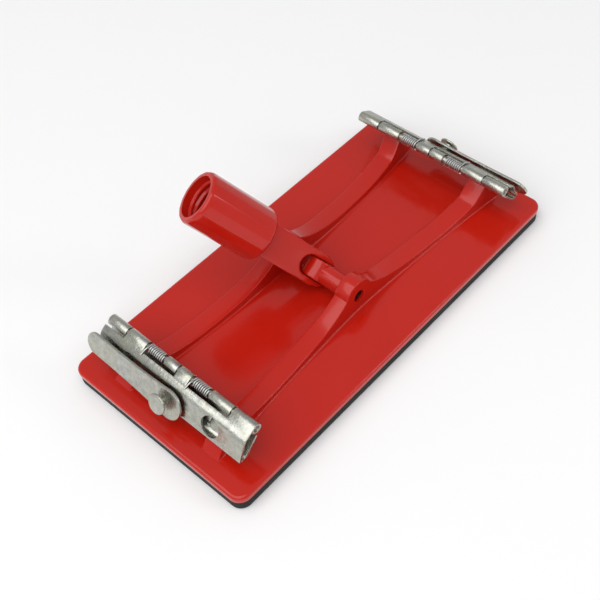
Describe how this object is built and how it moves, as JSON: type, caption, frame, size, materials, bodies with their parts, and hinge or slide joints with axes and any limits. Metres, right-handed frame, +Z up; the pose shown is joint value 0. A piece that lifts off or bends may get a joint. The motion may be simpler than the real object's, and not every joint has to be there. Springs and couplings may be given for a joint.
{
  "type": "sanding block",
  "caption": "Flat swivel-head sanding block: a cast plate on a rubber pad, sprung paper clamps with levers at the ends, and a universal joint with a threaded pole socket.",
  "frame": {"origin": "middle of the pad's sanding face, on the surface being sanded", "axes": "+X along the plate, towards clamp b; +Y across it; +Z up, away from the sanding face"},
  "size_m": [0.212, 0.105, 0.077],
  "materials": {
    "red_paint": "glossy red enamel over die-cast metal",
    "black_rubber": "matte black closed-cell rubber",
    "black_steel": "blackened steel",
    "zinc_plate": "bright zinc plate with a faint yellow-green tint",
    "spring_wire": "bright drawn spring wire"
  },
  "bodies": {
    "base": {"base_plate": "red_paint", "backing_pad": "black_rubber", "clamp_base_a": "zinc_plate", "hinge_pin_a": "zinc_plate", "seat_rivet_a1": "zinc_plate", "seat_rivet_a2": "zinc_plate", "clamp_base_b": "zinc_plate", "hinge_pin_b": "zinc_plate", "seat_rivet_b1": "zinc_plate", "seat_rivet_b2": "zinc_plate"},
    "swivel": {"swivel_block": "red_paint", "axle_pin_front": "black_steel", "axle_pin_back": "black_steel"},
    "socket": {"handle_socket": "red_paint", "fork_pin": "black_steel"},
    "jaw_a": {"clamp_jaw_a": "zinc_plate", "lever_rivet_a": "zinc_plate", "jaw_spring_a1": "spring_wire", "jaw_spring_a2": "spring_wire"},
    "jaw_b": {"clamp_jaw_b": "zinc_plate", "lever_rivet_b": "zinc_plate", "jaw_spring_b1": "spring_wire", "jaw_spring_b2": "spring_wire"},
    "lever_a": {"clamp_lever_a": "zinc_plate"},
    "lever_b": {"clamp_lever_b": "zinc_plate"}
  },
  "joints": [
    {"name": "swivel_turn", "type": "hinge", "parent": "base", "child": "swivel", "pos_m": [0, 0, 0.018], "axis": [0, 1, 0], "range_deg": [-22.4, 87.6]},
    {"name": "socket_tilt", "type": "hinge", "parent": "swivel", "child": "socket", "pos_m": [0, 0, 0.018], "axis": [0.8425, 0, 0.5388], "range_deg": [-15, 75]},
    {"name": "jaw_a_open", "type": "hinge", "parent": "base", "child": "jaw_a", "pos_m": [-0.0838, 0, 0.0291], "axis": [0, 1, 0], "range_deg": [0, 10], "stiffness_Nm_per_rad": 0.25, "springref_deg": -45.84},
    {"name": "lever_a_turn", "type": "hinge", "parent": "jaw_a", "child": "lever_a", "pos_m": [-0.09423, 0, 0.02066], "axis": [0.9205, 0, -0.3907], "range_deg": [0, 90]},
    {"name": "jaw_b_open", "type": "hinge", "parent": "base", "child": "jaw_b", "pos_m": [0.0838, 0, 0.0291], "axis": [0, -1, 0], "range_deg": [0, 10], "stiffness_Nm_per_rad": 0.25, "springref_deg": -45.84},
    {"name": "lever_b_turn", "type": "hinge", "parent": "jaw_b", "child": "lever_b", "pos_m": [0.09423, 0, 0.02066], "axis": [-0.9205, 0, -0.3907], "range_deg": [0, 90]}
  ],
  "couplings": [
    {"joint": "jaw_a_open", "follows": "lever_a_turn", "ratio": 0.1111},
    {"joint": "jaw_b_open", "follows": "lever_b_turn", "ratio": 0.1111}
  ]
}
